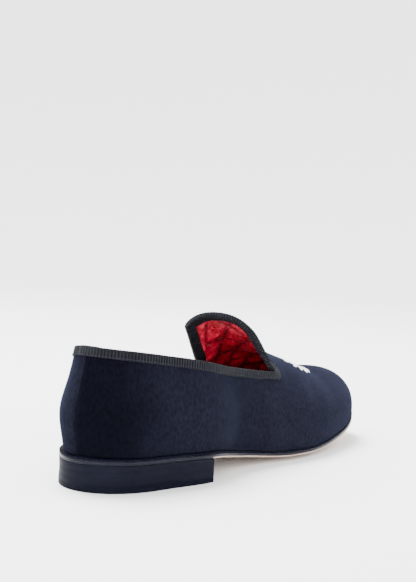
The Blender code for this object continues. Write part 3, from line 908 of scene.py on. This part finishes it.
def ribbonPiece():
    stations, total = ribbonStations()
    face = binding["thickness"] + last["gap"]
    wall = upper["wall"]
    down = np.linspace(1, 0, binding["faceRows"])
    half = wall / 2 + face
    points = []
    places = []
    for point, into, normal, distance, reach in stations:
        rib = abs(math.sin(math.pi * distance / binding["ribPitch"])) ** binding["ribShape"]
        fromBack = min(distance, total - distance)
        lap = float(smoothStep((binding["lapLength"] - fromBack) / binding["lapFade"]))
        raised = binding["ribHeight"] * (rib - 1) * (1 - lap) + binding["lapHeight"] * lap
        loop = []
        for share in down:
            spot, out = nearestFace(point + into * share * binding["outerDepth"] * reach)
            loop.append(spot + out * (face + raised))
        for k in range(1, binding["topSteps"]):
            a = math.pi * k / binding["topSteps"]
            rise = max(binding["topRise"] + raised, 0.0001) * math.sin(a)
            loop.append(point - normal * wall / 2 + normal * math.cos(a) * (half + raised) - into * rise)
        for share in down[::-1]:
            spot, out = nearestFace(point + into * share * binding["innerDepth"] * reach)
            loop.append(spot - out * (wall + face + raised))
        for share, under in ((1, -1), (0, -1), (0, 1), (1, 1)):
            deep = binding["innerDepth"] if under < 0 else binding["outerDepth"]
            spot, out = nearestFace(point + into * share * deep * reach)
            level = last["gap"] * 0.3 if under > 0 else -(wall + last["gap"] * 0.3)
            loop.append(spot + out * level)
        points.append(loop)
        width = np.linspace(0, 0.02, len(loop))
        places.append([[distance, w] for w in width])
    ring = Sheet()
    points = np.array(points + points[:1])
    ring.addGrid(points, np.array(places + places[:1]), closed=True)
    ring.joinPoints()
    material = newMaterial("blackRibbon", 0.72, 0.10, {
        "Sheen Weight": 0.02, "Sheen Roughness": 0.4, "Sheen Tint": (0.8, 0.85, 1.0)})
    thread = noise(material, 3000, 2.0)
    wear = noise(material, 60, 3.0)
    shades = ramp(material, wear, [(0.3, (0.0056, 0.0064, 0.0090)), (0.7, binding["colour"])])
    threadShade = ramp(material, thread, [(0.3, 0.75), (0.7, 1.1)])
    along = clothPlace(material)["X"]
    ribs = addNode(material, "Math", {0: along, 1: 1 / binding["ribPitch"]}, operation="MULTIPLY")
    within = addNode(material, "Math", {0: ribs.outputs[0]}, operation="FRACT")
    # painted shade between the ribs and painted highlight on their crests
    ribShadeAndHighlight = ramp(material, within.outputs[0], [
        (0.0, 0.08), (0.22, 0.6), (0.5, 1.7), (0.78, 0.6), (1.0, 0.08)])
    ribbed = multiply(material, shades, ribShadeAndHighlight)
    feed(material, multiply(material, ribbed, threadShade), "Base Color")
    feed(material, bump(material, thread, 0.4, 0.0002), "Normal")
    piece = makePiece("ribbonBinding", ring.points, ring.faces, [material], ring.places, crease=60)
    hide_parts("topline_binding")
    return stations


ribbonRun = ribbonPiece()

print("stitches")
stitching = {
    "colour": (0.009, 0.010, 0.014),
    "length": 0.0022,
    "space": 0.0006,
    "radius": 0.00020,
    "inset": 0.0007,         # from the ribbon's lower edge
    "lift": 0.00008,         # over the ribbon
}


# Thread bent over from one needle hole to the next
def stitchPiece(name, seats, material):
    points = []
    faces = []
    ringCount = 5
    corners = 6
    for start, end, normal in seats:
        along = unit(end - start)
        aside = np.cross(along, normal)
        first = len(points)
        for i in range(ringCount):
            share = i / (ringCount - 1)
            lift = stitching["radius"] * (1.6 * math.sin(math.pi * share) - 0.7)
            centre = start + (end - start) * share + normal * lift
            for k in range(corners):
                a = 2 * math.pi * k / corners
                points.append(centre + stitching["radius"] * (math.cos(a) * aside + math.sin(a) * normal))
        for i in range(ringCount - 1):
            a = first + i * corners
            for k in range(corners):
                b = (k + 1) % corners
                faces.append([a + k, a + b, a + corners + b, a + corners + k])
        faces.append([first + k for k in range(corners)][::-1])
        faces.append([first + (ringCount - 1) * corners + k for k in range(corners)])
    makePiece(name, points, faces, [material], crease=80)


def ribbonStitches():
    material = newMaterial("bindingThread", 0.7, 0.1)
    twist = noise(material, 4000, 1.0)
    colour = stitching["colour"]
    pale = tuple(1.5 * c for c in colour)
    feed(material, ramp(material, twist, [(0.3, colour), (0.7, pale)]), "Base Color")
    step = binding["ribPitch"] / binding["samplesPerRib"]
    stride = int(round((stitching["length"] + stitching["space"]) / step))
    reach = int(round(stitching["length"] / step))
    level = binding["thickness"] + last["gap"] + stitching["lift"]
    straight = [row for row in ribbonRun if row[4] == 1.0]
    threadRows = [
        ("outerStitches", binding["outerDepth"], 1, level),
        ("innerStitches", binding["innerDepth"], -1, -(upper["wall"] + level))]
    for name, deep, way, height in threadRows:
        seats = []
        for i in range(0, len(straight) - stride, stride):
            ends = []
            for row in (straight[i], straight[i + reach]):
                spot, out = nearestFace(row[0] + row[1] * (deep - stitching["inset"]))
                ends.append((spot + out * height, way * out))
            if np.linalg.norm(ends[0][0] - ends[1][0]) < 2 * stitching["length"]:
                seats.append((ends[0][0], ends[1][0], unit(ends[0][1] + ends[1][1])))
        stitchPiece(name, seats, material)


ribbonStitches()

print("sole")
sole = {
    "weltThickness": 0.0013,
    "weltReach": 0.0065,
    "thickness": 0.00245,
    "camber": 0.0036,
    "foreOutset": 0.0006,
    "heelOutset": 0.0024,
    "outsetBlend": 0.036,
    "camberBlend": 0.045,
    "breastHollow": 0.003,
    "topPiece": 0.0035,
    "insole": 0.0020,
    "rows": 150,
    "columns": 24,
}
outsoleTop = sole["weltThickness"] + last["gap"]
outsoleBottom = outsoleTop + sole["thickness"]
joint = 0.00004    # the glued pieces all but touch


def edgeOutset(x):
    blend = smoothStep((x - last["heelLength"]) / sole["outsetBlend"])
    return sole["heelOutset"] + (sole["foreOutset"] - sole["heelOutset"]) * blend


def treadHeight(x, across):
    camber = sole["camber"] * smoothStep((x - last["heelLength"]) / sole["camberBlend"])
    return np.maximum(edgeHeight(x) - outsoleBottom - camber * (1 - across ** 2), 0)


# A plate on the last's plan; profile lists (share of the thickness, inset) from top to bottom.
# Its top and underside take the first material and its edge the second
def platePiece(name, rows, outset, top, bottom, profile, materials, hollow=0.0):
    across = np.linspace(-1, 1, sole["columns"] + 1)
    loops = []
    places = []
    for i, t in enumerate(rows):
        back = hollow if i == len(rows) - 1 else 0.0
        x = float(stationOf(t))
        edges = {}
        for side in (-1, 1):
            for share, inset in profile:
                px, py = planOffset(t, side, outset(x) - inset)
                z = top(px, 1.0) + share * (bottom(px, 1.0) - top(px, 1.0))
                edges[side, share] = np.array([px, py, z])
        loop = []
        place = []
        rounds = [(0, top, across, 1, profile[1:-1]), (1, bottom, across[::-1], -1, profile[-2:0:-1])]
        for level, height, order, side, steps in rounds:
            for v in order:
                p = edges[-1, level] + (edges[1, level] - edges[-1, level]) * (v + 1) / 2
                px = p[0] - back * (1 - v * v)
                loop.append([px, p[1], height(px, v)])
                place.append([x, level])
            for share, _ in steps:
                loop.append(edges[side, share])
                place.append([x, share])
        loops.append(loop)
        places.append(place)
    plate = Sheet()
    loops = np.array(loops)
    plate.addGrid(loops, np.array(places), closed=True)
    rowCount, columns = loops.shape[:2]
    count = len(across)
    underside = count + len(profile) - 2
    onEdge = []
    for i in range(rowCount - 1):
        for j in range(columns - 1):
            flat = j < count - 1 or underside <= j < underside + count - 1
            onEdge.append(0 if flat else 1)
    onEdge += [1] * (rowCount - 1)
    if hollow:
        end = range((rowCount - 1) * columns, rowCount * columns)
        low = end[underside:][:count][::-1]
        for j in range(count - 1):
            plate.faces.append([end[j + 1], end[j], low[j], low[j + 1]])
        plate.faces.append([low[-1], *end[count:underside][::-1], end[count - 1]][::-1])
        plate.faces.append([end[0], *end[underside + count:][::-1], low[0]][::-1])
        onEdge += [1] * (count + 1)
    chosen = [onEdge[i] for i in plate.joinPoints(1e-6)]
    return makePiece(name, plate.points, plate.faces, materials, plate.places, chosen, crease=32)


def paintedLeather(name, colour, roughness, coat, streak=1.0):
    material = newMaterial(name, roughness, 0.0, {
        "Coat Weight": coat, "Coat Roughness": 0.30, "Coat IOR": 1.22})
    layers = noise(material, 260, 3.0, (0.06, 0.06, 12))
    cloud = noise(material, 70, 3.0, (1, 1, 0.4))
    dark = tuple(0.82 * c for c in colour)
    pale = tuple(1.15 * c for c in colour)
    shades = ramp(material, layers, [(0.3, dark), (0.7, pale)])
    clouded = ramp(material, cloud, [(0.3, 0.8), (0.7, 1.0)])
    feed(material, multiply(material, shades, clouded), "Base Color")
    fine = bump(material, layers, 0.12 * streak, 0.0002)
    feed(material, bump(material, cloud, 0.06, 0.0008, fine), "Normal")
    return material


def naturalLeather():
    material = newMaterial("naturalSoleLeather", 0.5, 0.35)
    cloud = noise(material, 45, 4.0)
    scuffs = noise(material, 320, 3.0, (1, 0.25, 1))
    shades = ramp(material, cloud, [(0.3, (0.44, 0.29, 0.20)), (0.7, (0.60, 0.43, 0.33))])
    worn = ramp(material, scuffs, [(0.35, (0.82, 0.80, 0.78)), (0.6, 1.0)])
    feed(material, multiply(material, shades, worn), "Base Color")
    feed(material, bump(material, scuffs, 0.25, 0.0004), "Normal")
    return material


heelColour = (0.0040, 0.0045, 0.0096)


# Navy paint down the edge of the sole, ending above a thin line of bare leather
def soleEdgeMaterial():
    material = newMaterial("soleEdgePaint", 0.34, 0.05, {
        "Coat Weight": 0.4, "Coat Roughness": 0.25, "Coat IOR": 1.22})
    place = clothPlace(material)
    shades = ramp(material, place["Y"], [
        (0.0, (0.004, 0.005, 0.010)), (0.16, (0.006, 0.007, 0.014)), (0.60, (0.009, 0.011, 0.021)),
        (0.68, (0.30, 0.20, 0.16)), (0.74, (0.52, 0.37, 0.30)), (1.0, (0.48, 0.33, 0.25))])
    breast = last["heelLength"]
    heelward = mapRange(material, place["X"], breast - 0.0015, breast + 0.0005)
    painted = mix(material, heelward, (*heelColour, 1), shades)
    feed(material, painted, "Base Color")
    grain = noise(material, 500, 2.0, (0.2, 0.2, 3))
    feed(material, bump(material, grain, 0.15, 0.0002), "Normal")
    return material


def weltPiece(rows):
    loops = []
    profile = [(0.00030, 0.0), (0.00008, 0.16), (0.0, 0.42), (0.0, 0.60), (0.00010, 0.86), (0.00035, 1.0)]
    for side, order in ((-1, rows), (1, rows[::-1])):
        for t in order[:-1]:
            x = float(stationOf(t))
            innerX, innerY = planOffset(t, side, -sole["weltReach"])
            loop = []
            for inset, share in profile:
                px, py = planOffset(t, side, edgeOutset(x) - inset)
                loop.append([px, py, edgeHeight(px) - share * sole["weltThickness"]])
            low = edgeHeight(innerX)
            loop.append([innerX, innerY, low - sole["weltThickness"]])
            loop.append([innerX, innerY, low])
            loops.append(loop)
    count = len(loops)
    columns = len(loops[0])
    faces = []
    for i in range(count):
        for j in range(columns):
            a, b = i * columns, (i + 1) % count * columns
            k = (j + 1) % columns
            faces.append([a + j, a + k, b + k, b + j])
    material = paintedLeather("weltLeather", (0.0034, 0.0039, 0.0084), 0.40, 0.12, 0.3)
    piece = makePiece("weltStrip", np.array(loops).reshape(-1, 3), faces, [material], crease=50)
    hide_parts("welt")


soleRows = np.linspace(0, 1, sole["rows"] + 1)
heelRows = np.linspace(0, rowOf(last["heelLength"]), 70)
weltPiece(soleRows)
bare = naturalLeather()
heelPaint = paintedLeather("paintedHeel", heelColour, 0.35, 0.28)
soleProfile = [
    (0, 0.0004), (0.06, 0.0001), (0.18, 0), (0.62, 0),
    (0.68, 0.00008), (0.74, 0), (0.90, 0.00015), (1, 0.0006)]
outsole = platePiece(
    "leatherOutsole", soleRows, edgeOutset, lambda x, v: edgeHeight(x) - sole["weltThickness"] - joint,
    treadHeight, soleProfile, [bare, soleEdgeMaterial()])
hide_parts("outsole")

heel = {
    "lifts": 3,
    "lineWidth": 0.0003,
    "lineDepth": 0.00003,
    "waisting": 0.0003,      # how far the stack draws in at its middle
    "lineSpace": 0.15,       # share of the height above each line that is rounded
}


def stackProfile():
    height = last["breast"] - outsoleBottom - sole["topPiece"]
    profile = [(0, 0.00006), (0.02, 0.0)]
    for k in range(1, heel["lifts"]):
        share = k / heel["lifts"]
        wide = heel["lineWidth"] / height / 2
        drawn = heel["waisting"] * math.sin(math.pi * share)
        above = share - heel["lineSpace"]
        profile += [(above, heel["waisting"] * math.sin(math.pi * above)), (share - wide, drawn)]
        profile += [(share, drawn + heel["lineDepth"]), (share + wide, drawn)]
    return profile + [(0.985, 0.0), (1, 0.00010)]


stack = platePiece(
    "heelStack", heelRows, edgeOutset, lambda x, v: edgeHeight(x) - outsoleBottom - joint,
    lambda x, v: sole["topPiece"] + joint, stackProfile(), [heelPaint, heelPaint], sole["breastHollow"])
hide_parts("heel_stack")
rubber = paintedLeather("heelRubber", (0.0036, 0.0041, 0.0088), 0.36, 0.25)
topPiece = platePiece(
    "heelTopPiece", heelRows, edgeOutset, lambda x, v: sole["topPiece"], lambda x, v: 0.0,
    [(0, 0.0001), (0.04, 0), (0.90, 0), (1, 0.0004)], [rubber, rubber], sole["breastHollow"])
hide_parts("heel_top_piece")

print("sock")
sockWall = upper["wall"] + last["gap"]
flatSatin = liningMaterial("redSock", 0.12, 0.25)
sockShade = 0.35    # painted shade: the sock's red is darkened, for it lies in the shade deep inside the shoe
sock = platePiece(
    "sockLining", soleRows, lambda x: -sockWall,
    lambda x, v: edgeHeight(x) + last["gap"] + sole["insole"] + 0.0006 * (1 - v * v),
    lambda x, v: edgeHeight(x) + last["gap"], [(0, 0.0005), (0.2, 0), (1, 0)], [flatSatin, flatSatin])
addQuiltShade(sock, np.full(len(sock.data.vertices), sockShade))
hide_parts("insole")

print("motif")
motif = {
    "colour": (0.80, 0.81, 0.84),
    "centre": (0.2080, 0.0005),
    "halfLength": 0.0190,    # of the open wreath, along the shoe and across it
    "halfWidth": 0.0190,
    "opening": 14,           # degrees left open at the throat
    "leafLength": 0.0066,
    "leafWidth": 0.0021,
    "leafHeight": 0.0008,
    "leafPairs": 8,
    "leafLean": 34,
    "stemRadius": 0.00055,
    "stemSteps": 60,
    "stemCorners": 6,
}


# The velvet straight below a point in plan, with its normal
def onVamp(x, y):
    place, normal, _, _ = sheetTree.ray_cast(Vector((x, y, 0.3)), Vector((0, 0, -1)))
    return np.array(place), np.array(normal)


def leafShape(points, faces, foot, heading):
    rows = 12
    columns = 8
    first = len(points)
    ahead = np.array([math.cos(heading), math.sin(heading)])
    aside = np.array([-ahead[1], ahead[0]])
    for i in range(rows + 1):
        share = i / rows
        wide = motif["leafWidth"] / 2 * math.sin(math.pi * share) ** 0.7 + 0.0001
        ridge = 1 - 0.16 * (i % 2)
        for j in range(columns + 1):
            across = 2 * j / columns - 1
            spot = foot + ahead * motif["leafLength"] * share + aside * across * wide
            ground, normal = onVamp(*spot)
            arch = max(0.0, 1 - across * across) ** 0.5
            high = motif["leafHeight"] * math.sin(math.pi * (0.06 + 0.88 * share)) ** 0.5 * arch * ridge
            points.append(ground + normal * (high - 0.0001))
    faces += gridFaces(first, rows + 1, columns + 1)


def sprigMotif():
    points = []
    faces = []
    for way in (-1, 1):
        stem = []
        for share in np.linspace(0, 1, motif["stemSteps"]):
            a = way * math.radians(4 + (176 - motif["opening"]) * share)
            x = motif["centre"][0] + motif["halfLength"] * math.cos(a)
            y = motif["centre"][1] + motif["halfWidth"] * math.sin(a)
            heading = math.atan2(
                way * motif["halfWidth"] * math.cos(a), -way * motif["halfLength"] * math.sin(a))
            stem.append((np.array([x, y]), heading))
        first = len(points)
        count = motif["stemCorners"]
        for spot, heading in stem:
            ground, normal = onVamp(*spot)
            side = unit(np.cross(normal, [math.cos(heading), math.sin(heading), 0]))
            for k in range(count):
                a = math.pi * k / (count - 1)
                around = math.cos(a) * side + math.sin(a) * normal
                points.append(ground + motif["stemRadius"] * around - normal * 0.0001)
        faces += gridFaces(first, len(stem), count)
        for pair in range(motif["leafPairs"]):
            spot, heading = stem[int(3 + 0.9 * motif["stemSteps"] * pair / motif["leafPairs"])]
            for lean in (-1, 1):
                leafShape(points, faces, spot, heading + lean * math.radians(motif["leafLean"]))
        spot, heading = stem[-1]
        leafShape(points, faces, spot, heading)
    material = newMaterial("whiteThread", 0.5, 0.4, {
        "Sheen Weight": 0.2, "Sheen Roughness": 0.4})
    strands = noise(material, 1800, 2.0, (1, 0.35, 1))
    colour = motif["colour"]
    shade = tuple(0.62 * c for c in colour)
    feed(material, ramp(material, strands, [(0.3, shade), (0.6, colour)]), "Base Color")
    feed(material, bump(material, strands, 0.5, 0.0003), "Normal")
    piece = makePiece("sprigMotif", points, faces, [material], crease=70)


sprigMotif()

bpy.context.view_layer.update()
